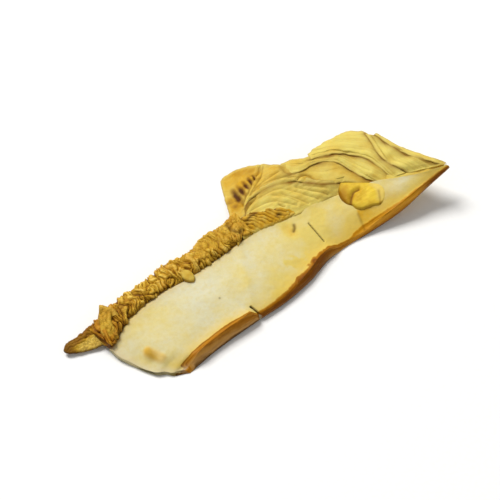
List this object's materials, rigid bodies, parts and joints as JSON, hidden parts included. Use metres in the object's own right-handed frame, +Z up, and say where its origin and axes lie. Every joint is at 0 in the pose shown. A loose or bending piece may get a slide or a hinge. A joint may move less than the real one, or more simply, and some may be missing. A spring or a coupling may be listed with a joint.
{
  "type": "dried caesars mushroom",
  "caption": "Lengthwise slice of a dried Caesar's mushroom cap: flat pale flesh edged with orange-brown skin, a crinkled row of short gills and a fan of overlapping long ones.",
  "frame": {"origin": "middle of the footprint, on the surface that the slice lies on", "axes": "+X along the slice towards its pointed end, +Y from the cap's skin towards the gills, +Z up, out of the cut face"},
  "size_m": [0.0862, 0.0374, 0.009],
  "materials": {
    "dried_mushroom": "dry, matt and leathery: cream flesh, golden gills, orange-brown skin"
  },
  "bodies": {
    "root": {"mushroom_slice": "dried_mushroom"}
  },
  "joints": []
}
